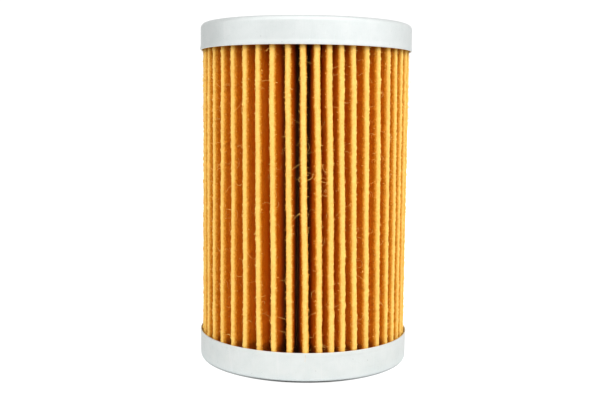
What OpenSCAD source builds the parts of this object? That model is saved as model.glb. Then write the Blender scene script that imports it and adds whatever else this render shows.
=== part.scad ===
// Cartridge oil filter element for a small engine.
// Two pressed steel end caps are bonded to a pleated paper pack that stands round a
// perforated centre tube. Oil flows from outside the paper to the tube and leaves through
// the rubber seal at the top. A spring-loaded bypass valve sits in the bottom cap.
// Millimetres, +Z up. The origin is the centre of the bottom cap's resting face.

/* [End caps] */
// Diameter over the skirts
cap_d = 41; // [40:0.5:44]
// Height over the two caps
body_h = 65.4; // [56:0.2:80]
// Thickness of the cap sheet
sheet_t = 0.35; // [0.3:0.05:0.4]
// Height of the outlet cap's skirt
outlet_skirt_h = 5.1; // [4:0.1:7]
// Height of the valve cap's skirt
valve_skirt_h = 5.7; // [4:0.1:7]
// Outside radius of the skirt's corner
corner_r = 1; // [0.8:0.05:1.05]
// How far a skirt's free rim flares outwards
rim_flare = 0.12; // [0:0.02:0.2]
// Diameter of the recessed plate in each cap
recess_d = 25.2; // [24.4:0.2:27]

/* [Pleated paper] */
// Number of pleats
pleats = 46; // [40:2:46]
// Thickness of the filter paper
paper_t = 0.5; // [0.4:0.05:0.55]
// Gap between the outer folds and the skirts
paper_gap = 0.1; // [0.05:0.05:0.5]
// Radius of the outer folds, at the middle of the paper
outer_fold_r = 0.345; // [0.3:0.005:0.42]
// Radius of the inner folds, at the middle of the paper
inner_fold_r = 0.36; // [0.3:0.01:0.36]
// Height of the sealant that the paper's ends stand in
sealant_level = 2.6; // [2:0.1:3.4]

/* [Centre tube] */
// Outside diameter of the tube
tube_d = 21; // [21:0.1:21.2]
// Thickness of the tube's wall
tube_wall = 0.4; // [0.3:0.1:0.5]
// Diameter of the perforations
hole_d = 3.2; // [2:0.1:3.4]
// Perforations in a row, with one place left plain for the seam
holes_per_row = 9; // [7:1:9]
// Rows of perforations
hole_rows = 10; // [6:1:10]

/* [Outlet seal] */
// Bore that grips the outlet spigot
seal_bore_d = 12; // [10:0.5:13]
// Diameter of the seal's flange outside the cap
seal_flange_d = 19.6; // [18:0.2:20]
// How far the seal stands above the cap
seal_proud = 0.5; // [0.2:0.1:0.8]

/* [Bypass valve] */
// Diameter of the inlet that the valve closes
inlet_d = 10; // [9:0.5:11]
// How far the valve lifts
valve_lift = 3.2; // [2:0.1:4]
// Diameter of the valve disc
disc_d = 15; // [14:0.5:15]
// Thickness of the rubber gasket
gasket_t = 1.2; // [0.8:0.1:1.4]
// Legs of the cage
cage_legs = 3; // [3:1:4]
// Diameter of the spring's wire
wire_d = 0.8; // [0.6:0.05:0.9]
// Diameter of the spring at the middle of the wire
coil_d = 9.2; // [8:0.1:10]
// Turns of the spring, ends included
coils = 5; // [4:1:6]

/* [Hidden] */
$fn = 96;

// Sheet metal: every bend has the same inside radius.
bend_r = 0.25;
bend_out = bend_r + sheet_t;
cap_r = cap_d / 2;
skirt_in_r = cap_r - sheet_t;
flare_h = 0.9;
step_r = recess_d / 2;
plate_edge_r = step_r - 2 * bend_r - sheet_t;
plate_z = 2 * bend_out - sheet_t;
plate_top = plate_z + sheet_t;

// Paper pack
paper_r = skirt_in_r - paper_gap;
tube_r = tube_d / 2;
tube_in_r = tube_r - tube_wall;
tip_clearance = 0.05;
paper_end = 1.4;
seam_pleat = pleats / 2;
clip_t = 0.25;
clip_gap = 0.05;
clip_reach = 4.2;
clip_end = sealant_level + 0.1;
// The first pleat's direction, then how the tips wander from even spacing, as
// [waves in a turn, degrees, phase]. The inner folds wander less than the tips.
first_pleat = -93.7;
tip_wander = [[2, 2.5, 113], [5, 0.8, 117], [8, 0.5, 38]];
inner_share = 0.35;
outer_steps = 4;
inner_steps = 3;

// Centre tube
seam_azimuth = 60;
seam_width_deg = 14;
seam_t = 0.4;
hole_margin = 5;
hole_turn = 36;

// Outlet seal
groove_r = 7.6;
seal_inner_r = 9;
seal_depth = 3;
seal_round = 0.4;

// Bypass valve, from the seat upwards
inlet_r = inlet_d / 2;
lip_top = plate_top + 1;
seat_gap = 0.02;
gasket_z = lip_top + seat_gap;
disc_z = gasket_z + gasket_t;
disc_t = 0.5;
disc_r = disc_d / 2;
disc_top = disc_z + disc_t;
rim_h = 1.4;
gasket_r = disc_r - 0.5;
washer_t = 0.5;
washer_r = 4;
shank_r = 1;
head_r = 1.9;
head_h = 0.6;
tail_h = 0.5;

// Spring and cage. At full lift the spring is still this much longer than its solid length.
spring_spare = 0.88;
spring_gap = 0.05;
spring_solid = (coils + 1) * wire_d;
spring_h = valve_lift + spring_solid + spring_spare;
wire_sides = 8;
steps_per_turn = 16;
closed_turns = 0.75;
cage_t = 0.4;
cage_bend = 0.3;
cage_in_r = disc_r + 0.4;
cage_top = disc_top + spring_h + 2 * spring_gap + cage_t;
cage_roof_r = 3.2;
flange_r = tube_in_r + 0.3;
window_w = 12;
window_round = 1.2;

// ---- Outlines in the plane of radius and height ----

// A rectangle between two radii and two heights.
module strip(r0, r1, z0, z1) {
    translate([r0, z0]) square([r1 - r0, z1 - z0]);
}

// A rectangle with all four corners rounded by true arcs.
module soft_strip(r0, r1, z0, z1, round_r) {
    strip(r0 + round_r, r1 - round_r, z0, z1);
    strip(r0, r1, z0 + round_r, z1 - round_r);
    for (r = [r0 + round_r, r1 - round_r], z = [z0 + round_r, z1 - round_r]) {
        translate([r, z]) circle(round_r);
    }
}

// A quarter turn of bent sheet about a centre. Quadrant 0 is outward and up, 1 inward
// and up, 2 inward and down, 3 outward and down.
module bend(centre, inner_r, thickness, quadrant) {
    translate(centre) intersection() {
        difference() {
            circle(inner_r + thickness);
            circle(inner_r);
        }
        rotate(90 * quadrant) square(inner_r + thickness);
    }
}

// An end cap's section, resting face down: skirt, corner, floor, step and plate.
module cap_outline(skirt_h, plate_in_r) {
    flare_z = skirt_h - flare_h;
    strip(skirt_in_r, cap_r, corner_r, flare_z);
    polygon([
        [skirt_in_r, flare_z],
        [cap_r, flare_z],
        [cap_r + rim_flare, skirt_h],
        [skirt_in_r + rim_flare, skirt_h]
    ]);
    bend([cap_r - corner_r, corner_r], corner_r - sheet_t, sheet_t, 3);
    strip(step_r, cap_r - corner_r, 0, sheet_t);
    bend([step_r, bend_out], bend_r, sheet_t, 2);
    bend([plate_edge_r, bend_out], bend_r, sheet_t, 0);
    strip(plate_in_r, plate_edge_r, plate_z, plate_top);
}

// The sealant's section, which fills a cap round the tube's end.
module sealant_outline() {
    strip(tube_r, skirt_in_r, plate_top, sealant_level);
    strip(step_r, skirt_in_r, corner_r, plate_top);
    strip(step_r, cap_r - corner_r, sheet_t, corner_r);
}

// A round-topped button, flat at z = 0.
module dome(r, h) {
    ball_r = (r * r + h * h) / (2 * h);
    rotate_extrude() intersection() {
        translate([0, h - ball_r]) circle(ball_r);
        square([r, h]);
    }
}

// What stands at the bottom end, turned over and set at the top end.
module at_outlet_end() {
    translate([0, 0, body_h]) mirror([0, 0, 1]) children();
}

// ---- Pleats ----

function polar(r, a) = [r * cos(a), r * sin(a)];
function wrap(a) = a - 360 * round(a / 360);
function heading(v) = atan2(v.y, v.x);

function wander(turn) = [for (w = tip_wander) w[1] * sin(w[0] * turn + w[2])] * [1, 1, 1];
function tip_angle(k) = let (turn = 360 * k / pleats) first_pleat + turn + wander(turn);
function valley_angle(k) =
    let (turn = 360 * (k + 0.5) / pleats) first_pleat + turn + inner_share * wander(turn);

// The middle of each outer fold and of the inner fold that follows it.
function tip_centre(k) =
    let (set_back = k == seam_pleat ? clip_t + clip_gap : 0)
    polar(paper_r - outer_fold_r - paper_t / 2 - set_back, tip_angle(k));
function valley_centre(k) =
    polar(tube_r + tip_clearance + inner_fold_r + paper_t / 2, valley_angle(k));

// The direction square to a flank, where side is 1 from tip k to valley k and -1 from
// valley k - 1 to tip k. The flank is the inner tangent of the two folds.
function flank_normal(k, side) =
    let (
        valley = valley_centre(side > 0 ? k : k - 1),
        run = valley - tip_centre(k),
        lean = acos((outer_fold_r + inner_fold_r) / norm(run))
    )
    heading(run) - side * lean;

function arc(centre, r, a0, a1, steps) =
    [for (i = [0:steps]) centre + polar(r, a0 + (a1 - a0) * i / steps)];

// One surface of the paper: offset is half the paper's thickness outwards or inwards.
function pleat_surface(offset) = [
    for (k = [0:pleats - 1])
    let (
        tip = tip_angle(k),
        valley = valley_angle(k),
        leaving = flank_normal(k, 1),
        arriving = flank_normal(k + 1, -1)
    )
    each concat(
        arc(
            tip_centre(k),
            outer_fold_r + offset,
            tip + wrap(flank_normal(k, -1) - tip),
            tip + wrap(leaving - tip),
            outer_steps
        ),
        arc(
            valley_centre(k),
            inner_fold_r - offset,
            valley + wrap(leaving + 180 - valley),
            valley + wrap(arriving + 180 - valley) - 360,
            inner_steps
        )
    )
];

// ---- Sub-parts ----

module outlet_end_cap() {
    color("gainsboro") at_outlet_end() rotate_extrude() {
        cap_outline(outlet_skirt_h, groove_r);
    }
}

module valve_end_cap() {
    lip_in_r = inlet_r + sheet_t;
    color("gainsboro") rotate_extrude() {
        cap_outline(valve_skirt_h, lip_in_r + bend_r);
        bend([lip_in_r + bend_r, plate_top + bend_r], bend_r, sheet_t, 2);
        strip(inlet_r, lip_in_r, plate_top + bend_r, lip_top);
    }
}

module pleated_paper() {
    color("orange") translate([0, 0, paper_end]) linear_extrude(body_h - 2 * paper_end) {
        difference() {
            polygon(pleat_surface(paper_t / 2));
            polygon(pleat_surface(-paper_t / 2));
        }
    }
}

// A folded strip that closes the paper's two ends, which stand together in one pleat.
module seam_clip() {
    tip = tip_centre(seam_pleat);
    root = (valley_centre(seam_pleat) + valley_centre(seam_pleat - 1)) / 2;
    inside = outer_fold_r + paper_t / 2 + clip_gap;
    outside = inside + clip_t;
    color("silver") translate([tip.x, tip.y, clip_end]) rotate(heading(tip - root)) {
        linear_extrude(body_h - 2 * clip_end) {
            intersection() {
                difference() {
                    circle(outside);
                    circle(inside);
                }
                translate([0, -outside]) square([outside, 2 * outside]);
            }
            for (y = [-outside, inside]) {
                translate([-clip_reach, y]) square([clip_reach, clip_t]);
            }
        }
    }
}

module centre_tube() {
    foot = plate_top + cage_t;
    tube_h = body_h - plate_top - foot;
    row_pitch = (tube_h - 2 * hole_margin) / (hole_rows - 1);
    first_hole = seam_azimuth + seam_width_deg / 2 + 30;
    color("lightgray") translate([0, 0, foot]) difference() {
        union() {
            rotate_extrude() strip(tube_in_r, tube_r, 0, tube_h);
            rotate(seam_azimuth) rotate_extrude(angle = seam_width_deg) {
                strip(tube_in_r - seam_t, tube_in_r + tube_wall / 2, 0, tube_h);
            }
        }
        for (row = [0:hole_rows - 1], i = [0:holes_per_row - 1]) {
            turn = first_hole + hole_turn * i + (row % 2) * hole_turn / 2;
            translate([0, 0, hole_margin + row * row_pitch]) rotate([0, 90, turn]) {
                translate([0, 0, tube_in_r - 1]) cylinder(h = tube_wall + 2, d = hole_d);
            }
        }
    }
}

module outlet_sealant() {
    color("dimgray") at_outlet_end() rotate_extrude() sealant_outline();
}

module valve_sealant() {
    color("dimgray") rotate_extrude() sealant_outline();
}

// A rubber ring that grips the edge of the outlet cap's hole in a groove.
module outlet_seal() {
    bore_r = seal_bore_d / 2;
    low = body_h - seal_depth;
    high = body_h + seal_proud;
    color("black") rotate_extrude() {
        soft_strip(bore_r, seal_flange_d / 2, body_h - plate_z, high, seal_round);
        soft_strip(bore_r, seal_inner_r, low, body_h - plate_top, seal_round);
        strip(bore_r, groove_r, low + seal_round, high - seal_round);
    }
}

// A pressed hat on legs. The centre tube stands on its flange and holds it down.
module valve_cage() {
    wall_in = cage_in_r;
    wall_out = cage_in_r + cage_t;
    foot_bend = [wall_out + cage_bend, plate_top + cage_t + cage_bend];
    roof_bend = [wall_in - 2 * cage_bend, cage_top - cage_t - 2 * cage_bend];
    window_z = foot_bend.y + 0.7;
    window_h = roof_bend.y - 0.5 - window_z;
    color("silver") difference() {
        rotate_extrude() {
            strip(foot_bend.x, flange_r, plate_top, plate_top + cage_t);
            bend(foot_bend, cage_bend, cage_t, 2);
            strip(wall_in, wall_out, foot_bend.y, roof_bend.y);
            bend(roof_bend, 2 * cage_bend, cage_t, 0);
            strip(cage_roof_r, roof_bend.x, cage_top - cage_t, cage_top);
        }
        for (leg = [0:cage_legs - 1]) {
            width = window_w * 3 / cage_legs;
            rotate(360 * leg / cage_legs) rotate([90, 0, 90]) linear_extrude(2 * wall_out) {
                soft_strip(-width / 2, width / 2, window_z, window_z + window_h, window_round);
            }
        }
    }
}

// Height of the wire's middle at a place along the coil, counted in turns. The end turns
// lie flat and the rest share what is left.
function coil_height(turn) =
    let (
        flat_pitch = wire_d,
        low = disc_top + spring_gap + wire_d / 2,
        open_turns = coils - 2 * closed_turns,
        rise = spring_h - wire_d - 2 * closed_turns * flat_pitch,
        open_pitch = rise / open_turns,
        opened = max(0, min(open_turns, turn - closed_turns))
    )
    low + flat_pitch * (turn - opened) + open_pitch * opened;

module valve_spring() {
    rings = coils * steps_per_turn;
    points = [
        for (i = [0:rings], s = [0:wire_sides - 1])
        let (
            turn = i / steps_per_turn,
            side = 360 * s / wire_sides,
            flat = polar(coil_d / 2 + wire_d / 2 * cos(side), 360 * turn)
        )
        [flat.x, flat.y, coil_height(turn) + wire_d / 2 * sin(side)]
    ];
    skin = [
        for (i = [0:rings - 1], s = [0:wire_sides - 1])
        let (here = i * wire_sides, next = here + wire_sides, t = (s + 1) % wire_sides)
        [here + s, next + s, next + t, here + t]
    ];
    start_face = [for (s = [0:wire_sides - 1]) s];
    end_face = [for (s = [wire_sides - 1:-1:0]) rings * wire_sides + s];
    color("silver") polyhedron(points, concat(skin, [start_face, end_face]));
}

module valve_disc() {
    edge = [disc_r - disc_t - cage_bend, disc_top + cage_bend];
    color("silver") rotate_extrude() {
        strip(shank_r, edge.x, disc_z, disc_top);
        bend(edge, cage_bend, disc_t, 3);
        strip(disc_r - disc_t, disc_r, edge.y, disc_z + rim_h);
    }
}

module valve_gasket() {
    color("black") rotate_extrude() {
        soft_strip(shank_r, gasket_r, gasket_z, disc_z, 0.15);
    }
}

module gasket_washer() {
    color("silver") rotate_extrude() {
        soft_strip(shank_r, washer_r, gasket_z - washer_t, gasket_z, 0.12);
    }
}

// The rivet clamps the washer, the gasket and the disc together.
module valve_rivet() {
    head_z = gasket_z - washer_t;
    color("silver") {
        translate([0, 0, head_z]) cylinder(h = disc_top - head_z, r = shank_r);
        translate([0, 0, head_z]) mirror([0, 0, 1]) dome(head_r, head_h);
        translate([0, 0, disc_top]) dome(head_r, tail_h);
    }
}

outlet_end_cap();
valve_end_cap();
pleated_paper();
seam_clip();
centre_tube();
outlet_sealant();
valve_sealant();
outlet_seal();
valve_cage();
valve_spring();
valve_disc();
valve_gasket();
gasket_washer();
valve_rivet();
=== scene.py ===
"""Looks for the cartridge oil filter element: steel caps, pleated paper, and the valve inside.

Lengths are in metres, in the CAD model's frame: +Z up the element's axis, the origin at
the centre of the bottom cap's resting face, and the camera on the -Y side.
"""

import math

import bpy
import numpy as np
from mathutils import Matrix, Vector


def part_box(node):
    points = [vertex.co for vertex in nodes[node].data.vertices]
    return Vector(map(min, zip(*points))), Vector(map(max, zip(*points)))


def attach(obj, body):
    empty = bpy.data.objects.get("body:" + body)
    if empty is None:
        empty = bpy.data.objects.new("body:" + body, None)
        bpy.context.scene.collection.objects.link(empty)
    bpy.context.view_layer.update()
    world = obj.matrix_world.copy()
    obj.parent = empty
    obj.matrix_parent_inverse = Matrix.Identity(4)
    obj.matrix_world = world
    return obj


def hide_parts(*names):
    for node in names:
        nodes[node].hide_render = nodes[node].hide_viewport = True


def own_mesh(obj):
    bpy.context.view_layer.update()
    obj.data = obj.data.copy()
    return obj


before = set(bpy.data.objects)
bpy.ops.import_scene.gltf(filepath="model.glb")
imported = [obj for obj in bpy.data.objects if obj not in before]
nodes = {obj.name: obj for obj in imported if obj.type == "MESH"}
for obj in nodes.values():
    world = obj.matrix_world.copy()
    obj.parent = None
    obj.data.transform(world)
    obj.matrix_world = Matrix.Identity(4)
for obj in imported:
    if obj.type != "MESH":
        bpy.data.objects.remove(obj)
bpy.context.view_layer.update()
MM = 0.001
BODY = "filter_element"

# ---- Places and sizes, from the CAD nodes ----

FLOOR_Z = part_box("valve_end_cap")[0].z
TOP_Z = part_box("outlet_end_cap")[1].z
OUTLET_RIM_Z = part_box("outlet_end_cap")[0].z
VALVE_RIM_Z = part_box("valve_end_cap")[1].z
RIM_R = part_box("valve_end_cap")[1].x
PAPER_LOW, PAPER_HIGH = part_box("pleated_paper")[0].z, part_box("pleated_paper")[1].z
TUBE_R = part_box("centre_tube")[1].x

# Cap sheet
SHEET = 0.35 * MM
FLARE = 0.12 * MM
FLARE_H = 0.9 * MM
FLARE_BEND_R = 2.5 * MM
CORNER_R = 1 * MM
BEND_R = 0.25 * MM
RECESS_R = 12.6 * MM
INLET_R = 5 * MM
OUTLET_HOLE_R = 7.6 * MM
GASKET_CLEARANCE = 0.02 * MM

# Pleats. Angles are in degrees.
PLEATS = 46
PAPER_T = 0.5 * MM
PACK_R = 20.05 * MM
OUTER_FOLD_R = 0.32 * MM
PRESSED = 0.07 * MM  # how much tighter the folds are on the -X side
INNER_FOLD_R = 0.36 * MM
TIP_CLEARANCE = 0.05 * MM
SEAM_PLEAT = PLEATS // 2
CLIP_SET_BACK = 0.3 * MM
CLIP_CENTRE_R = 19.155 * MM
CLIP_FOLD_R = 0.77 * MM
CLIP_REACH = 4.2 * MM
CLIP_T = 0.25 * MM
CRIMP_PITCH = 3.6 * MM
CRIMP_HALF = 0.7 * MM
CRIMP_DEPTH = 0.11 * MM
FIRST_PLEAT = -93.7
TIP_WANDER = ((2, 2.5, 113), (5, 0.8, 117), (8, 0.5, 38))
INNER_SHARE = 0.35
FIBRE_CLEARANCE = 1.2 * MM  # from the sealant, for a fibre's root
FIBRE_RIM_GAP = 0.3 * MM    # below the outlet cap's rim, for a fibre's root
FIBRE_MARGIN = 0.05 * MM    # how far inside the caps' rims a fibre stays
LEAN = math.radians(4)  # from end to end, where the pleats lean most
LEAN_ANGLE = -68


# ---- Meshes ----

def new_object(name, vertices, faces, body=BODY, smooth=True):
    """A mesh object that rides on a body."""
    mesh = bpy.data.meshes.new(name)
    mesh.from_pydata(np.asarray(vertices).tolist(), [], faces)
    mesh.validate()
    mesh.update()
    mesh.polygons.foreach_set("use_smooth", [smooth] * len(mesh.polygons))
    obj = bpy.data.objects.new(name, mesh)
    bpy.context.scene.collection.objects.link(obj)
    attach(obj, body)
    return obj


def grid_faces(rows, columns, start=0, close_rows=False):
    """Quads over a grid of points, stored row by row, whose columns run full circle."""
    faces = []
    for i in range(rows if close_rows else rows - 1):
        for j in range(columns):
            a, b = i * columns, (i + 1) % rows * columns
            k = (j + 1) % columns
            faces.append((start + a + j, start + a + k, start + b + k, start + b + j))
    return faces


def rounded_path(corners, steps=10):
    """Points and left-hand normals along a line with a round bend at each inner corner.

    A corner is (radius, height, bend radius); the two ends have no bend.
    """
    points, normals = [], []
    for i, (x, y, bend) in enumerate(corners):
        here = np.array([x, y])
        if i in (0, len(corners) - 1):
            other = np.array(corners[1 if i == 0 else -2][:2])
            along = (other - here) if i == 0 else (here - other)
            along /= np.linalg.norm(along)
            points.append(here)
            normals.append(np.array([-along[1], along[0]]))
            continue
        before = here - np.array(corners[i - 1][:2])
        after = np.array(corners[i + 1][:2]) - here
        before /= np.linalg.norm(before)
        after /= np.linalg.norm(after)
        turn = math.atan2(before[0] * after[1] - before[1] * after[0], before @ after)
        cut = bend * math.tan(abs(turn) / 2)
        side = math.copysign(1, turn)
        normal = np.array([-before[1], before[0]])
        centre = here - before * cut + normal * bend * side
        for s in range(steps + 1):
            a = turn * s / steps
            n = np.array([
                normal[0] * math.cos(a) - normal[1] * math.sin(a),
                normal[0] * math.sin(a) + normal[1] * math.cos(a),
            ])
            point = centre - n * bend * side
            if np.linalg.norm(point - points[-1]) > 0.001 * MM:  # two bends may meet
                points.append(point)
                normals.append(n)
    return np.array(points), np.array(normals)


def sheet_section(corners, thickness, steps=10):
    """The closed outline of a bent sheet, with its two edges rounded."""
    points, normals = rounded_path(corners, steps)
    half = thickness / 2
    left, right = points + normals * half, points - normals * half

    def edge(point, normal, out):
        angles = [math.pi * s / 6 for s in range(1, 6)]
        return [point + half * (math.cos(a) * normal + math.sin(a) * out) for a in angles]

    first = np.array([normals[0][1], -normals[0][0]])
    last = np.array([normals[-1][1], -normals[-1][0]])
    return np.array([
        *left,
        *edge(points[-1], normals[-1], last),
        *right[::-1],
        *edge(points[0], -normals[0], -first),
    ])


def lathe(name, section, wobble, segments=256):
    """A closed section turned round Z. wobble(radius, height, angle) moves a point outwards."""
    turns = np.arange(segments) * 2 * np.pi / segments
    r = np.repeat(section[None, :, 0], segments, axis=0)
    z = np.repeat(section[None, :, 1], segments, axis=0)
    a = np.repeat(turns[:, None], len(section), axis=1)
    r = r + wobble(r, z, a)
    points = np.stack([r * np.cos(a), r * np.sin(a), z], axis=2).reshape(-1, 3)
    faces = grid_faces(segments, len(section), close_rows=True)
    return new_object(name, points, faces)


def tubes(name, paths, radii, sides):
    """Round threads, each along its own row of points, as one mesh with closed ends."""
    count, steps, _ = paths.shape
    along = np.gradient(paths, axis=1)
    along /= np.linalg.norm(along, axis=2, keepdims=True)
    lean = np.random.default_rng(1).normal(size=(count, 1, 3))
    side = np.cross(along, np.broadcast_to(lean, along.shape))
    side /= np.linalg.norm(side, axis=2, keepdims=True)
    up = np.cross(along, side)
    angles = np.arange(sides) * 2 * np.pi / sides
    rings = (
        paths[:, :, None]
        + radii[:, :, None, None]
        * (np.cos(angles)[:, None] * side[:, :, None] + np.sin(angles)[:, None] * up[:, :, None])
    )
    faces = []
    for i in range(count):
        start = i * steps * sides
        last = start + (steps - 1) * sides
        faces += grid_faces(steps, sides, start)
        faces.append(tuple(range(start + sides - 1, start - 1, -1)))
        faces.append(tuple(range(last, last + sides)))
    return new_object(name, rings.reshape(-1, 3), faces, smooth=sides > 3)


# ---- Materials ----

class Nodes:
    """Short ways to add nodes to a shader's tree."""

    def __init__(self, tree):
        self.tree = tree

    def node(self, kind, **settings):
        made = self.tree.nodes.new(kind)
        for key, value in settings.items():
            setattr(made, key, value)
        return made

    def put(self, socket, value):
        """Joins an output to a socket, or sets the socket's own value."""
        if isinstance(value, bpy.types.NodeSocket):
            self.tree.links.new(value, socket)
        else:
            socket.default_value = value

    def math(self, operation, a, b=0.0, clamp=False):
        made = self.node("ShaderNodeMath", operation=operation, use_clamp=clamp)
        self.put(made.inputs[0], a)
        self.put(made.inputs[1], b)
        return made.outputs[0]

    def span(self, value, low, high, to_low=0.0, to_high=1.0, smooth=True):
        """value from low..high mapped to to_low..to_high, and held at the ends."""
        made = self.node("ShaderNodeMapRange")
        made.interpolation_type = "SMOOTHSTEP" if smooth else "LINEAR"
        self.put(made.inputs["Value"], value)
        for key, number in (("From Min", low), ("From Max", high),
                            ("To Min", to_low), ("To Max", to_high)):
            made.inputs[key].default_value = number
        return made.outputs["Result"]


class Material(Nodes):
    """A material on the Principled shader, with patterns in millimetres."""

    def __init__(self, name, **values):
        self.material = bpy.data.materials.new(name)
        self.material.use_nodes = True
        super().__init__(self.material.node_tree)
        self.shader = self.tree.nodes["Principled BSDF"]
        for socket, value in values.items():
            self.shader.inputs[socket.replace("_", " ")].default_value = value
        coordinates = self.node("ShaderNodeTexCoord").outputs["Object"]
        scale = self.node("ShaderNodeVectorMath", operation="SCALE")
        scale.inputs["Scale"].default_value = 1 / MM
        self.tree.links.new(coordinates, scale.inputs[0])
        self.place = scale.outputs[0]  # millimetres in the part's frame

    def stretched(self, x, y, z):
        """The place, with each direction scaled."""
        made = self.node("ShaderNodeVectorMath", operation="MULTIPLY")
        self.put(made.inputs[0], self.place)
        made.inputs[1].default_value = (x, y, z)
        return made.outputs[0]

    def noise(self, scale, detail=2.0, rough=0.5, place=None, distortion=0.0):
        made = self.node("ShaderNodeTexNoise")
        self.put(made.inputs["Vector"], place or self.place)
        for key, value in (("Scale", scale), ("Detail", detail), ("Roughness", rough),
                           ("Distortion", distortion)):
            made.inputs[key].default_value = value
        return made.outputs["Fac"]

    def spots(self, scale, size):
        """1 at scattered round spots and 0 between them."""
        made = self.node("ShaderNodeTexVoronoi")
        self.put(made.inputs["Vector"], self.place)
        made.inputs["Scale"].default_value = scale
        return self.span(made.outputs["Distance"], size, 0.0)

    def mix(self, factor, a, b):
        """Colour a where factor is 0 and colour b where it is 1."""
        made = self.node("ShaderNodeMix", data_type="RGBA")
        self.put(made.inputs[0], factor)
        self.put(made.inputs[6], a if isinstance(a, bpy.types.NodeSocket) else (*a, 1))
        self.put(made.inputs[7], b if isinstance(b, bpy.types.NodeSocket) else (*b, 1))
        return made.outputs[2]

    def radius(self):
        """Distance from the element's axis, in millimetres."""
        flat = self.node("ShaderNodeVectorMath", operation="LENGTH")
        self.put(flat.inputs[0], self.stretched(1, 1, 0))
        return flat.outputs["Value"]

    def along(self, axis):
        """The place along the X, Y or Z axis, in millimetres."""
        split = self.node("ShaderNodeSeparateXYZ")
        self.put(split.inputs[0], self.place)
        return split.outputs[axis]

    def bump(self, height, distance):
        """Raises the surface by height times distance, in millimetres."""
        made = self.node("ShaderNodeBump")
        self.put(made.inputs["Height"], height)
        made.inputs["Distance"].default_value = distance * MM
        made.inputs["Strength"].default_value = 1
        if self.shader.inputs["Normal"].is_linked:
            self.put(made.inputs["Normal"], self.shader.inputs["Normal"].links[0].from_socket)
        self.put(self.shader.inputs["Normal"], made.outputs["Normal"])

    def set(self, socket, value):
        self.put(self.shader.inputs[socket], value)


def tinned_steel():
    """Satin tinplate: fine grain down the skirt, faint blotches, nicks and bright streaks."""
    m = Material("tinned_steel", Metallic=1.0, Roughness=0.4)
    grain = m.noise(9.0, 3.0, 0.6, m.stretched(1, 1, 0.06))
    roll = m.noise(7.0, 2.0, 0.6, m.stretched(0.05, 1, 1))
    blotch = m.noise(0.35, 3.0, 0.55)
    nick = m.spots(0.42, 0.07)
    speck = m.spots(0.55, 0.07)
    scuff = m.noise(1.3, 5.0, 0.7, m.stretched(0.5, 0.5, 1.4), 2.0)
    mark = m.noise(0.8, 2.0, 0.5, m.stretched(1, 1, 0.12))
    colour = m.mix(m.span(blotch, 0.3, 0.7), (0.84, 0.885, 0.875), (0.89, 0.925, 0.915))
    colour = m.mix(m.math("MULTIPLY", m.span(grain, 0.35, 0.75), 0.25), colour, (0.8, 0.83, 0.82))
    colour = m.mix(m.span(scuff, 0.56, 0.72, 0.0, 0.35), colour, (0.74, 0.77, 0.76))
    colour = m.mix(m.span(mark, 0.58, 0.75, 0.0, 0.4), colour, (0.96, 0.97, 0.965))
    colour = m.mix(m.math("MULTIPLY", speck, 0.7), colour, (0.30, 0.31, 0.30))
    m.set("Base Color", colour)
    rough = m.math("ADD", m.span(grain, 0.2, 0.8, 0.25, 0.35), m.span(roll, 0.2, 0.8, -0.03, 0.03))
    rough = m.math("ADD", rough, m.math("MULTIPLY", blotch, 0.06))
    m.set("Roughness", m.math("SUBTRACT", rough, m.math("MULTIPLY", nick, 0.15), clamp=True))
    m.bump(grain, 0.006)
    m.bump(roll, 0.004)
    m.bump(nick, 0.02)
    return m.material


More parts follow.
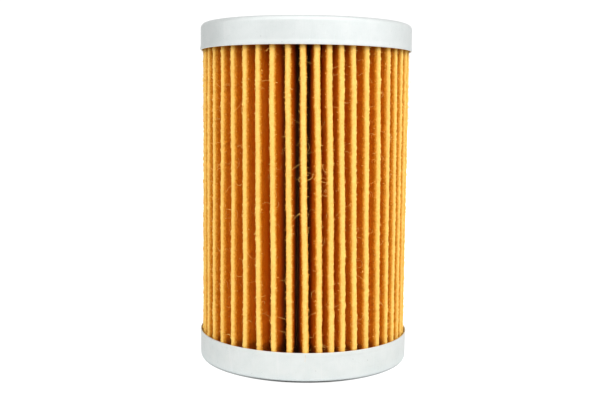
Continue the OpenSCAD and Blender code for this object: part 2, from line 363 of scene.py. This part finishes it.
def filter_paper():
    """Resin-treated cellulose with matted fibres, its light and shade painted into the colour:
    pale fold tips for painted light on the edges, which are partly abraded; orange shoulders and
    dark orange flanks for painted shade down the gaps, lighter deeper in for painted bounce light;
    and painted shade deep by the tube, under the outlet cap's rim, and above the valve cap's rim,
    where some sealant also soaks the paper.
    """
    m = Material("filter_paper", Roughness=0.95)
    m.set("Specular IOR Level", 0.0)
    radius = m.radius()
    mat = m.noise(3.2, 5.0, 0.65, m.stretched(1, 1, 0.55), 0.6)
    fine = m.noise(11.0, 3.0, 0.7)
    cloud = m.noise(0.28, 3.0, 0.5)
    fibre = m.noise(2.4, 4.0, 0.75, m.stretched(2.6, 2.6, 0.5), 1.6)
    edge = m.math("ADD", radius, m.span(fine, 0.2, 0.8, -0.2, 0.2))
    # The paper is one colour; these darker flank colours are painted shade down the gaps.
    flank = m.mix(m.span(mat, 0.36, 0.64), (0.48, 0.102, 0.002), (0.62, 0.155, 0.003))
    # Painted bounce light: flanks lighter and more orange from 19.2 mm in towards 16.8 mm.
    flank = m.mix(m.span(radius, 19.2, 16.8, 0.0, 0.85), flank, (0.90, 0.245, 0.005))
    flank = m.mix(m.math("MULTIPLY", m.span(fibre, 0.54, 0.66), 0.35), flank, (0.88, 0.33, 0.03))
    # Pale tip colours: painted light on the fold edges, which are partly abraded too.
    tip = m.mix(m.span(mat, 0.25, 0.75), (0.94, 0.57, 0.13), (0.99, 0.68, 0.19))
    tip = m.mix(m.math("MULTIPLY", m.span(fibre, 0.55, 0.75), 0.4), tip, (1.0, 0.78, 0.27))
    # Orange shoulders: painted shade on the round sides of each fold.
    shoulder_shade = m.mix(m.span(mat, 0.36, 0.64), (0.60, 0.195, 0.008), (0.82, 0.34, 0.03))
    colour = m.mix(m.span(edge, 19.0, 19.6), flank, shoulder_shade)
    colour = m.mix(m.span(edge, 19.56, 20.0), colour, tip)
    colour = m.mix(m.span(cloud, 0.3, 0.7, 0.0, 0.15), colour, (0.80, 0.32, 0.04))
    # Darker flanks just above the valve cap's rim: painted shade in the gaps, with some sealant
    # soaked up into the paper.
    rim_shade_and_soak = m.math("ADD", m.along("Z"), m.span(fine, 0.2, 0.8, -0.4, 0.4))
    rim = VALVE_RIM_Z / MM
    rim_shade_and_soak = m.math("MULTIPLY", m.span(rim_shade_and_soak, rim + 0.9, rim - 0.1), 0.55)
    rim_shade_and_soak = m.math("MULTIPLY", rim_shade_and_soak, m.span(radius, 19.6, 18.9))
    colour = m.mix(rim_shade_and_soak, colour, (0.13, 0.035, 0.008))
    # Painted shade deep in the gaps: darker brown from 17 mm in towards the tube.
    colour = m.mix(m.span(radius, 17.0, 12.5, 0.0, 0.85), colour, (0.20, 0.10, 0.05))
    shade = m.span(m.along("Z"), OUTLET_RIM_Z / MM - 0.9, OUTLET_RIM_Z / MM, 0.0, 0.5)
    colour = m.mix(shade, colour, (0.25, 0.08, 0.01))
    m.set("Base Color", colour)
    m.bump(mat, 0.12)
    m.bump(fine, 0.04)
    return m.material


def loose_fibre():
    """Loose cellulose fibres, some paler than others."""
    m = Material("loose_fibre", Roughness=0.9)
    m.set("Specular IOR Level", 0.0)
    tone = m.noise(1.5, 2.0)
    m.set("Base Color", m.mix(m.span(tone, 0.35, 0.65), (0.86, 0.42, 0.08), (0.95, 0.60, 0.16)))
    return m.material


def zinc_steel():
    """Zinc-plated strip and pressings: cooler and duller than the caps, with spangle."""
    m = Material("zinc_steel", Metallic=1.0, Roughness=0.35)
    spangle = m.noise(1.1, 2.0, 0.4)
    grain = m.noise(10.0, 3.0, 0.6, m.stretched(1, 1, 0.1))
    stain = m.noise(0.5, 4.0, 0.6)
    colour = m.mix(m.span(spangle, 0.35, 0.65), (0.54, 0.56, 0.565), (0.66, 0.675, 0.68))
    colour = m.mix(m.span(stain, 0.55, 0.75, 0.0, 0.35), colour, (0.50, 0.47, 0.42))
    m.set("Base Color", colour)
    rough = m.span(grain, 0.2, 0.8, 0.26, 0.42)
    m.set("Roughness", m.math("ADD", rough, m.span(stain, 0.4, 0.8, 0.0, 0.12)))
    m.bump(grain, 0.006)
    return m.material


def seal_rubber():
    """Moulded nitrile rubber: near black, a soft bloom, and dust in the grain."""
    m = Material("seal_rubber", Roughness=0.55)
    grain = m.noise(9.0, 4.0, 0.7)
    bloom = m.noise(0.6, 3.0, 0.5)
    dust = m.spots(1.4, 0.12)
    lint = m.noise(1.6, 3.0, 0.6, m.stretched(2.2, 0.5, 1.0), 3.0)
    colour = m.mix(m.span(grain, 0.3, 0.7), (0.008, 0.008, 0.009), (0.030, 0.029, 0.028))
    colour = m.mix(m.span(bloom, 0.45, 0.75, 0.0, 0.5), colour, (0.045, 0.044, 0.042))
    colour = m.mix(m.span(lint, 0.66, 0.7, 0.0, 0.3), colour, (0.30, 0.28, 0.25))
    m.set("Base Color", m.mix(m.math("MULTIPLY", dust, 0.5), colour, (0.30, 0.28, 0.25)))
    rough = m.span(grain, 0.3, 0.7, 0.42, 0.6)
    m.set("Roughness", m.math("ADD", rough, m.span(bloom, 0.3, 0.7, 0.0, 0.15)))
    m.bump(grain, 0.03)
    return m.material


def potting_sealant():
    """Cured plastisol that the paper stands in: glossy where it wetted, with small bubbles."""
    m = Material("potting_sealant", Roughness=0.4)
    flow = m.noise(0.5, 3.0, 0.5)
    bubble = m.spots(1.1, 0.12)
    colour = m.mix(m.span(flow, 0.3, 0.7), (0.10, 0.085, 0.07), (0.17, 0.15, 0.125))
    m.set("Base Color", m.mix(m.math("MULTIPLY", bubble, 0.6), colour, (0.05, 0.04, 0.035)))
    m.set("Roughness", m.span(flow, 0.3, 0.7, 0.3, 0.5))
    m.bump(flow, 0.1)
    m.bump(bubble, -0.05)
    return m.material


def spring_steel():
    """Drawn spring wire: grey, with fine marks and a trace of oil."""
    m = Material("spring_steel", Metallic=1.0, Roughness=0.3)
    line = m.noise(14.0, 2.0, 0.6, m.stretched(1, 1, 3))
    oil = m.noise(0.9, 3.0, 0.5)
    m.set("Base Color", m.mix(m.span(oil, 0.35, 0.7), (0.42, 0.42, 0.42), (0.30, 0.285, 0.26)))
    rough = m.span(line, 0.2, 0.8, 0.2, 0.36)
    m.set("Roughness", m.math("ADD", rough, m.span(oil, 0.4, 0.7, 0.06, 0.0)))
    m.bump(line, 0.006)
    return m.material


def paint(obj, material):
    """Gives every material slot of a piece one material."""
    if not obj.material_slots:
        obj.data.materials.append(material)
    for slot in obj.material_slots:
        slot.material = material


# ---- End caps ----

def cap_corners(skirt, plate_end):
    """The middle line of a cap's sheet, from the skirt's rim to the plate, face down."""
    half = SHEET / 2
    wall = RIM_R - FLARE - half
    step = RECESS_R - BEND_R - half
    depth = 2 * BEND_R + SHEET
    tight = BEND_R + half
    return [
        (wall + FLARE * 0.9, skirt - half, 0),
        (wall, skirt - FLARE_H, FLARE_BEND_R),
        (wall, half, CORNER_R - half),
        (step, half, tight),
        (step, half + depth, tight),
        *plate_end(half + depth, tight),
    ]


def cap_wobble(seed, rim_z, face_z):
    """Out-of-roundness of a pressed skirt: up to 0.02 mm, most at the rim."""
    rng = np.random.default_rng(seed)
    waves = [(n, rng.uniform(0, 2 * np.pi), rng.uniform(0.5, 1)) for n in (2, 3, 5, 9, 14, 23)]

    def wobble(r, z, a):
        towards_rim = np.clip((z - face_z) / (rim_z - face_z), 0, 1) * (r > RECESS_R + 5 * MM)
        ring = sum(size * np.sin(n * a + phase) / n**0.5 for n, phase, size in waves)
        return 0.008 * MM * towards_rim * ring

    return wobble


def build_caps(material):
    """Both caps as thin bent sheet: one with the inlet's lip, one with the plain outlet hole."""
    lip = INLET_R + SHEET / 2
    lip_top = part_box("valve_gasket")[0].z - GASKET_CLEARANCE
    valve = sheet_section(
        cap_corners(
            VALVE_RIM_Z - FLOOR_Z,
            lambda z, bend: [(lip, z, bend), (lip, lip_top - SHEET / 2, 0)],
        ),
        SHEET,
    )
    outlet = sheet_section(
        cap_corners(
            TOP_Z - OUTLET_RIM_Z,
            lambda z, bend: [(OUTLET_HOLE_R + SHEET / 2, z, 0)],
        ),
        SHEET,
    )[::-1]
    outlet[:, 1] = TOP_Z - outlet[:, 1]
    low = lathe("valve_cap_skin", valve, cap_wobble(3, VALVE_RIM_Z, 0))
    high = lathe("outlet_cap_skin", outlet, cap_wobble(4, OUTLET_RIM_Z, TOP_Z))
    for piece, node in ((low, "valve_end_cap"), (high, "outlet_end_cap")):
        paint(piece, material)
        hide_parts(node)


# ---- Pleated paper ----

def direction(angle):
    a = np.radians(angle)
    return np.stack([np.cos(a), np.sin(a)], axis=-1)


def wrap(angle):
    return angle - 360 * np.round(angle / 360)


def wander(turn):
    return sum(size * math.sin(math.radians(n * turn + phase)) for n, size, phase in TIP_WANDER)


def tip_angle(k):
    turn = 360 * k / PLEATS
    return FIRST_PLEAT + turn + wander(turn)


def valley_angle(k):
    turn = 360 * (k + 0.5) / PLEATS
    return FIRST_PLEAT + turn + INNER_SHARE * wander(turn)


def tip_fold(k):
    return OUTER_FOLD_R - PRESSED * max(0, -math.cos(math.radians(tip_angle(k))))


def tip_centre(k):
    set_back = CLIP_SET_BACK if k % PLEATS == SEAM_PLEAT else 0
    return (PACK_R - tip_fold(k) - PAPER_T / 2 - set_back) * direction(tip_angle(k))


def valley_centre(k):
    return (TUBE_R + TIP_CLEARANCE + INNER_FOLD_R + PAPER_T / 2) * direction(valley_angle(k))


def flank_normal(k, side):
    """The way a flank of pleat k faces, in degrees: side is 1 after its tip and -1 before."""
    run = valley_centre(k if side > 0 else k - 1) - tip_centre(k)
    lean = math.degrees(math.acos((tip_fold(k) + INNER_FOLD_R) / np.linalg.norm(run)))
    return math.degrees(math.atan2(run[1], run[0])) - side * lean


def pleat_line(tip_steps, flank_steps, valley_steps):
    """The paper's middle line seen from above: points, outward normals and pleat numbers."""
    points, normals, pleat = [], [], []

    def arc(centre, radius, start, end, steps, sign, k):
        for angle in np.linspace(start, end, steps + 1):
            points.append(centre + radius * direction(angle))
            normals.append(sign * direction(angle))
            pleat.append(k)

    def flank(end, k):
        a, n = points[-1], normals[-1]
        for s in range(1, flank_steps):
            points.append(a + (end - a) * s / flank_steps)
            normals.append(n)
            pleat.append(k)

    for k in range(PLEATS):
        tip, valley = tip_angle(k), valley_angle(k)
        leaving, arriving = flank_normal(k, 1), flank_normal(k + 1, -1)
        arc(tip_centre(k), tip_fold(k), tip + wrap(flank_normal(k, -1) - tip),
            tip + wrap(leaving - tip), tip_steps, 1, k)
        start = valley + wrap(leaving + 180 - valley)
        end = valley + wrap(arriving + 180 - valley) - 360
        flank(valley_centre(k) + INNER_FOLD_R * direction(start), k)
        arc(valley_centre(k), INNER_FOLD_R, start, end, valley_steps, -1, k)
        flank(tip_centre(k + 1) + tip_fold(k + 1) * direction(arriving), k + 1)
    return np.array(points), np.array(normals), np.array(pleat) % PLEATS


def pleat_sway(pleat, z):
    """How far each pleat's tip leans sideways and outwards at a height, in metres."""
    rng = np.random.default_rng(11)
    height = PAPER_HIGH - PAPER_LOW
    up = (z - PAPER_LOW) / height
    side = np.zeros((len(z), len(pleat)))
    out = np.zeros_like(side)
    for waves, size in ((0.6, 0.05), (1.5, 0.04), (3.2, 0.025), (7.5, 0.012), (15, 0.008)):
        count = waves * rng.uniform(0.8, 1.25, PLEATS)
        phase = rng.uniform(0, 2 * np.pi, (2, PLEATS))
        scale = size * MM * rng.uniform(0.4, 1.3, PLEATS)
        scale[SEAM_PLEAT] = 0  # the clip holds it straight
        angle = 2 * np.pi * up[:, None] * count[pleat]
        side += scale[pleat] * np.sin(angle + phase[0][pleat])
        out += 0.35 * scale[pleat] * np.sin(angle + phase[1][pleat])
    held = np.clip(np.minimum(up, 1 - up) / 0.08, 0, 1)[:, None]
    facing = np.cos(np.radians([tip_angle(k) - LEAN_ANGLE for k in range(PLEATS)]))
    lean = LEAN * PACK_R * np.maximum(facing, 0) ** 2
    return side * held + lean[pleat] * (0.5 - up[:, None]), (out - 0.02 * MM) * held


def paper_surface(line, rows, offset, roughen, seed):
    """One face of the paper as rows of points, from the bottom edge to the top edge."""
    points, normals, pleat = line
    z = np.linspace(PAPER_LOW, PAPER_HIGH, rows)
    side, out = pleat_sway(pleat, z)
    radius = np.linalg.norm(points, axis=1)
    root = TUBE_R + TIP_CLEARANCE + PAPER_T
    reach = np.clip((radius - root) / (PACK_R - root), 0, 1)
    radial = points / radius[:, None]
    tangent = np.stack([-radial[:, 1], radial[:, 0]], axis=1)
    rng = np.random.default_rng(seed)
    grain = rng.normal(size=(rows, len(points)))
    grain += np.roll(grain, 1, axis=0) * 0.25 + np.roll(grain, 1, axis=1) * 0.7
    lump = (rng.random(grain.shape) < 0.2) * rng.uniform(1.5, 7.5, grain.shape)
    grain = roughen * (np.clip(grain, -1.5, 2.5) + lump) * (0.1 + 0.9 * reach**4)
    grain[:, pleat == SEAM_PLEAT] = 0
    flat = (
        points
        + normals * offset
        + tangent * (side * reach)[:, :, None]
        + radial * (out * reach)[:, :, None]
        + normals * grain[:, :, None]
    )
    return np.concatenate([flat, np.broadcast_to(z[:, None, None], (*flat.shape[:2], 1))], axis=2)


def build_paper(material):
    """The pleated sheet, with pleats that sway a little and a fibrous outer face.

    Returns the outer face's rows of points, and the pleat that each column is in.
    """
    line = pleat_line(tip_steps=4, flank_steps=2, valley_steps=2)
    columns = len(line[0])
    outer_rows, inner_rows = 196, 14
    outer = paper_surface(line, outer_rows, PAPER_T / 2, 0.02 * MM, 21)
    inner = paper_surface(line, inner_rows, -PAPER_T / 2, 0.0, 22)
    start = outer_rows * columns
    faces = grid_faces(outer_rows, columns)
    faces += [face[::-1] for face in grid_faces(inner_rows, columns, start)]
    for outer_row, inner_row, up in ((0, 0, False), (outer_rows - 1, inner_rows - 1, True)):
        for j in range(columns):
            k = (j + 1) % columns
            a, b = outer_row * columns, start + inner_row * columns
            face = (a + j, a + k, b + k, b + j)
            faces.append(face if up else face[::-1])
    vertices = np.concatenate([outer.reshape(-1, 3), inner.reshape(-1, 3)])
    paper = new_object("paper_pleats", vertices, faces)
    paint(paper, material)
    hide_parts("pleated_paper")
    return outer, line[2]


def build_clip(material):
    """The seam clip: a strip folded over its pleat and crimped along both shoulders."""
    low, high = (corner.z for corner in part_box("seam_clip"))
    centre = CLIP_CENTRE_R * direction(tip_angle(SEAM_PLEAT))
    root = (valley_centre(SEAM_PLEAT) + valley_centre(SEAM_PLEAT - 1)) / 2
    ahead = (centre - root) / np.linalg.norm(centre - root)
    across = np.array([-ahead[1], ahead[0]])
    section = sheet_section([
        (-CLIP_REACH, -CLIP_FOLD_R, 0),
        (CLIP_FOLD_R, -CLIP_FOLD_R, CLIP_FOLD_R),
        (CLIP_FOLD_R, CLIP_FOLD_R, CLIP_FOLD_R),
        (-CLIP_REACH, CLIP_FOLD_R, 0),
    ], CLIP_T, steps=6)[::-1]
    rows = 260
    z = np.linspace(low, high, rows)
    from_crimp = np.abs((z - low) / CRIMP_PITCH % 1 - 0.5) * CRIMP_PITCH
    crimp = np.cos(np.clip(from_crimp / CRIMP_HALF, 0, 1) * np.pi) * 0.5 + 0.5
    u = np.repeat(section[None, :, 0], rows, axis=0)
    v = np.repeat(section[None, :, 1], rows, axis=0)
    near_fold = np.clip(u / MM + 2, 0, 1)  # fades from 1 to 2 mm behind the fold's centre
    v = v - CRIMP_DEPTH * crimp[:, None] * near_fold * np.clip(v / CLIP_FOLD_R, -1, 1)
    flat = centre + u[..., None] * ahead + v[..., None] * across
    points = np.concatenate([flat, np.broadcast_to(z[:, None, None], (*u.shape, 1))], axis=2)
    count = len(section)
    faces = grid_faces(rows, count)
    faces.append(tuple(range(count - 1, -1, -1)))
    faces.append(tuple(range((rows - 1) * count, rows * count)))
    clip = new_object("seam_clip_strip", points.reshape(-1, 3), faces)
    paint(clip, material)
    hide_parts("seam_clip")


def curled_paths(base, normal, length, steps, rng, curl):
    """Threads that leave a surface and curl as they go."""
    count = len(base)
    heading = normal + 0.6 * rng.normal(size=(count, 3))
    heading /= np.linalg.norm(heading, axis=1, keepdims=True)
    axis = rng.normal(size=(count, 3))
    axis /= np.linalg.norm(axis, axis=1, keepdims=True)
    bend = curl * rng.uniform(-1, 1, count) / steps
    paths = [base - normal * 0.05 * MM]
    for _ in range(steps):
        cos, sin = np.cos(bend)[:, None], np.sin(bend)[:, None]
        across = np.cross(axis, heading)
        along = np.sum(axis * heading, axis=1, keepdims=True) * axis
        heading = along + (heading - along) * cos + across * sin
        heading /= np.linalg.norm(heading, axis=1, keepdims=True)
        paths.append(paths[-1] + heading * (length / steps)[:, None])
    return np.stack(paths, axis=1)


def keep_near(paths, limit):
    """Bends whatever would pass a radius back onto it."""
    radius = np.linalg.norm(paths[:, :, :2], axis=2, keepdims=True)
    paths[:, :, :2] *= np.minimum(1, limit / radius)
    return paths


def build_fibres(outer, pleat, material):
    """Loose fibres on the fold edges: short fuzz, and fewer long curls. None is under the clip."""
    rng = np.random.default_rng(31)
    rows, columns, _ = outer.shape
    across = np.roll(outer, -1, axis=1) - outer
    normal = np.stack([across[:, :, 1], -across[:, :, 0], np.zeros((rows, columns))], axis=2)
    normal /= np.linalg.norm(normal, axis=2, keepdims=True)
    radius = np.linalg.norm(outer[:, :, :2], axis=2)
    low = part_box("valve_sealant")[1].z + FIBRE_CLEARANCE
    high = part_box("outlet_sealant")[0].z - FIBRE_CLEARANCE
    z = outer[:, :, 2]
    open_band = (z > VALVE_RIM_Z) & (z < OUTLET_RIM_Z - FIBRE_RIM_GAP)
    open_band &= pleat != SEAM_PLEAT
    for name, count, least, size, thick, blunt, steps, curl in (
        ("paper_fuzz", 8000, 19.3 * MM, (0.15, 0.40), 0.055, 0.5, 1, 0.0),
        ("paper_curls", 1000, 18.3 * MM, (0.8, 3.2), 0.030, 0.35, 10, 9.0),
    ):
        rows_at, columns_at = np.nonzero(open_band & (radius > least))
        pick = rng.choice(len(rows_at), count, replace=False)
        i, j = rows_at[pick], columns_at[pick]
        slide = rng.uniform(-0.4, 0.4, count)
        base = outer[i, j].copy()
        base[:, 2] = np.clip(base[:, 2] + slide * MM, low, high)
        length = rng.uniform(*size, count) * MM
        paths = curled_paths(base, normal[i, j], length, steps, rng, curl)
        paths = keep_near(paths, RIM_R - FIBRE_MARGIN)
        taper = np.linspace(1, blunt, steps + 1)
        radii = thick * MM * rng.uniform(0.6, 1.2, count)[:, None] * taper
        piece = tubes(name, paths, radii, sides=3)
        paint(piece, material)


# ---- Valve spring ----

def build_spring(material):
    """The coil, smooth, with closed end turns, at the CAD node's length; the real coil shortens as
    the valve lifts, but this mesh is not made to.
    """
    low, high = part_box("valve_spring")
    wire = 0.4 * MM  # radius
    coil_r = high.x - wire
    turns, closed = 5, 0.75  # closed turns at each end
    steps = 60
    turn = np.arange(turns * steps + 1) / steps
    opened = np.clip(turn - closed, 0, turns - 2 * closed)
    flat_pitch = 2 * wire
    span = high.z - low.z - 2 * wire
    open_pitch = (span - 2 * closed * flat_pitch) / (turns - 2 * closed)
    z = low.z + wire + flat_pitch * (turn - opened) + open_pitch * opened
    angle = 2 * np.pi * turn
    path = np.stack([coil_r * np.cos(angle), coil_r * np.sin(angle), z], axis=1)
    radii = np.full((1, len(turn)), wire)
    spring = tubes("spring_coil", path[None], radii, sides=14)
    paint(spring, material)
    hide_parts("valve_spring")
    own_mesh(spring)


# ---- Stage ----

def white_surround():
    """White where the camera sees it; as light, brightest from the front right."""
    world = bpy.data.worlds.new("surround")
    world.use_nodes = True
    n = Nodes(world.node_tree)
    place = n.node("ShaderNodeTexCoord").outputs["Generated"]
    strength = 1
    for way, low, high, at_low, at_high in (
        ((0.75, -0.65, 0.25), -1.0, 1.0, 0.66, 1.145),  # from the back left to the front right
        ((0, -1, 0), 0.6, 1.0, 1.0, 0.95),              # where the camera stands
        ((0, 1, 0), -0.1, 0.5, 1.0, 0.90),              # behind the element
    ):
        towards = n.node("ShaderNodeVectorMath", operation="DOT_PRODUCT")
        n.put(towards.inputs[0], place)
        towards.inputs[1].default_value = Vector(way).normalized()
        share = n.span(towards.outputs["Value"], low, high, at_low, at_high, smooth=False)
        strength = n.math("MULTIPLY", share, strength)
    lit = n.tree.nodes["Background"]
    seen = n.node("ShaderNodeBackground")
    for background, value in ((lit, strength), (seen, 1.1)):
        background.inputs["Color"].default_value = (1, 1, 1, 1)
        n.put(background.inputs["Strength"], value)
    choose = n.node("ShaderNodeMixShader")
    n.put(choose.inputs["Fac"], n.node("ShaderNodeLightPath").outputs["Is Camera Ray"])
    n.put(choose.inputs[1], lit.outputs[0])
    n.put(choose.inputs[2], seen.outputs[0])
    n.put(n.tree.nodes["World Output"].inputs["Surface"], choose.outputs[0])
    return world


def white_floor():
    """A floor that is plain white in view, duller in reflections, and clear from below. In
    reflections it has a painted contact shadow, a dark ring just inside the valve cap's rim that
    is strongest at the front and back and fades to the sides, and painted shade towards the left;
    under the element it glows as a stand-in lamp for the underside.
    """
    m = Material("floor_white", Roughness=0.9)
    m.set("Emission Color", (1, 1, 1, 1))
    in_view = m.node("ShaderNodeLightPath").outputs["Is Camera Ray"]
    radius = m.radius()
    # Painted contact shadow, seen in reflections: near black base colour in a ring just inside the
    # valve cap's rim, strongest near X = 0 and fading to the sides.
    clear = m.span(radius, RIM_R / MM - 0.3, RIM_R / MM)
    beside = m.span(m.math("ABSOLUTE", m.along("X")), 3.0, 14.0, 0.0, 0.6)
    clear = m.math("MAXIMUM", clear, beside)
    m.set("Base Color", m.mix(clear, (0.06, 0.06, 0.06), (0.46, 0.475, 0.48)))
    # A glowing disc under the element, a stand-in lamp that lights the valve cap's underside.
    under = m.span(radius, RIM_R / MM - 0.9, RIM_R / MM - 1.6, 0.0, 0.5)
    # Painted shade: the floor glows less towards the left, so reflections are darker there.
    left = m.span(m.along("X"), -10.0, -34.0, 0.0, 0.06)
    # The glow for reflections stops in the painted contact-shadow ring.
    glow = m.math("SUBTRACT", m.math("ADD", m.math("MULTIPLY", clear, 0.22), under), left)
    m.set("Emission Strength", m.math("ADD", glow, m.math("MULTIPLY", in_view, 0.9)))
    one_sided = m.node("ShaderNodeMixShader")
    m.put(one_sided.inputs["Fac"], m.node("ShaderNodeNewGeometry").outputs["Backfacing"])
    m.put(one_sided.inputs[1], m.shader.outputs[0])
    m.put(one_sided.inputs[2], m.node("ShaderNodeBsdfTransparent").outputs[0])
    m.put(m.tree.nodes["Material Output"].inputs["Surface"], one_sided.outputs[0])
    return m.material


def build_stage():
    """A white floor and surround, four soft lamps, and the camera."""
    scene = bpy.context.scene
    scene.view_settings.view_transform = "Standard"
    half, floor_z = 3, FLOOR_Z - 0.02 * MM
    corners = ((-half, -half), (half, -half), (half, half), (-half, half))
    floor = bpy.data.meshes.new("floor")
    floor.from_pydata([(x, y, floor_z) for x, y in corners], [], [(0, 1, 2, 3)])
    floor = bpy.data.objects.new("floor", floor)
    scene.collection.objects.link(floor)
    paint(floor, white_floor())

    scene.world = white_surround()

    target = Vector((0, 0, (FLOOR_Z + TOP_Z) / 2))
    for name, place, width, height, power, mirrored in (
        ("key", (0.24, -0.20, 0.42), 0.50, 0.30, 1.28, False),
        ("front", (-0.14, -0.25, 0.44), 0.50, 0.30, 0.95, False),
        ("fill", (-0.40, -0.10, 0.10), 0.40, 0.40, 0.07, True),
        ("overhead", (-0.10, -0.22, 0.60), 1.20, 1.10, 0.70, True),
    ):
        lamp = bpy.data.lights.new(name, "AREA")
        lamp.shape = "RECTANGLE"
        lamp.size, lamp.size_y, lamp.energy = width, height, power
        lamp = bpy.data.objects.new(name, lamp)
        lamp.location = place
        lamp.visible_glossy = mirrored
        lamp.rotation_euler = (target - Vector(place)).to_track_quat("-Z", "Y").to_euler()
        scene.collection.objects.link(lamp)

    camera = bpy.data.cameras.new("camera")
    camera.lens, camera.sensor_width = 53.6, 36
    camera.clip_start = 0.01
    camera = bpy.data.objects.new("camera", camera)
    tilt, roll = math.radians(5.81), math.radians(0.6)
    ahead = Vector((0, math.cos(tilt), -math.sin(tilt)))
    level = Vector((0, math.sin(tilt), math.cos(tilt)))
    right = math.cos(roll) * Vector((1, 0, 0)) + math.sin(roll) * level
    up = math.cos(roll) * level - math.sin(roll) * Vector((1, 0, 0))
    turn = Matrix((right, up, -ahead)).transposed().to_4x4()
    eye = (-0.89 * MM, -176.8 * MM, 49.14 * MM)
    camera.matrix_world = Matrix.Translation(eye) @ turn
    scene.collection.objects.link(camera)
    scene.camera = camera


# ---- The element ----

tin, paper, fibre, zinc = tinned_steel(), filter_paper(), loose_fibre(), zinc_steel()
rubber, sealant, wire = seal_rubber(), potting_sealant(), spring_steel()

build_caps(tin)
paper_face, paper_pleat = build_paper(paper)
build_fibres(paper_face, paper_pleat, fibre)
build_clip(zinc)
build_spring(wire)
for node, material in (
    ("centre_tube", zinc),
    ("valve_cage", zinc),
    ("valve_disc", zinc),
    ("gasket_washer", zinc),
    ("valve_rivet", zinc),
    ("outlet_seal", rubber),
    ("valve_gasket", rubber),
    ("outlet_sealant", sealant),
    ("valve_sealant", sealant),
):
    paint(nodes[node], material)
build_stage()
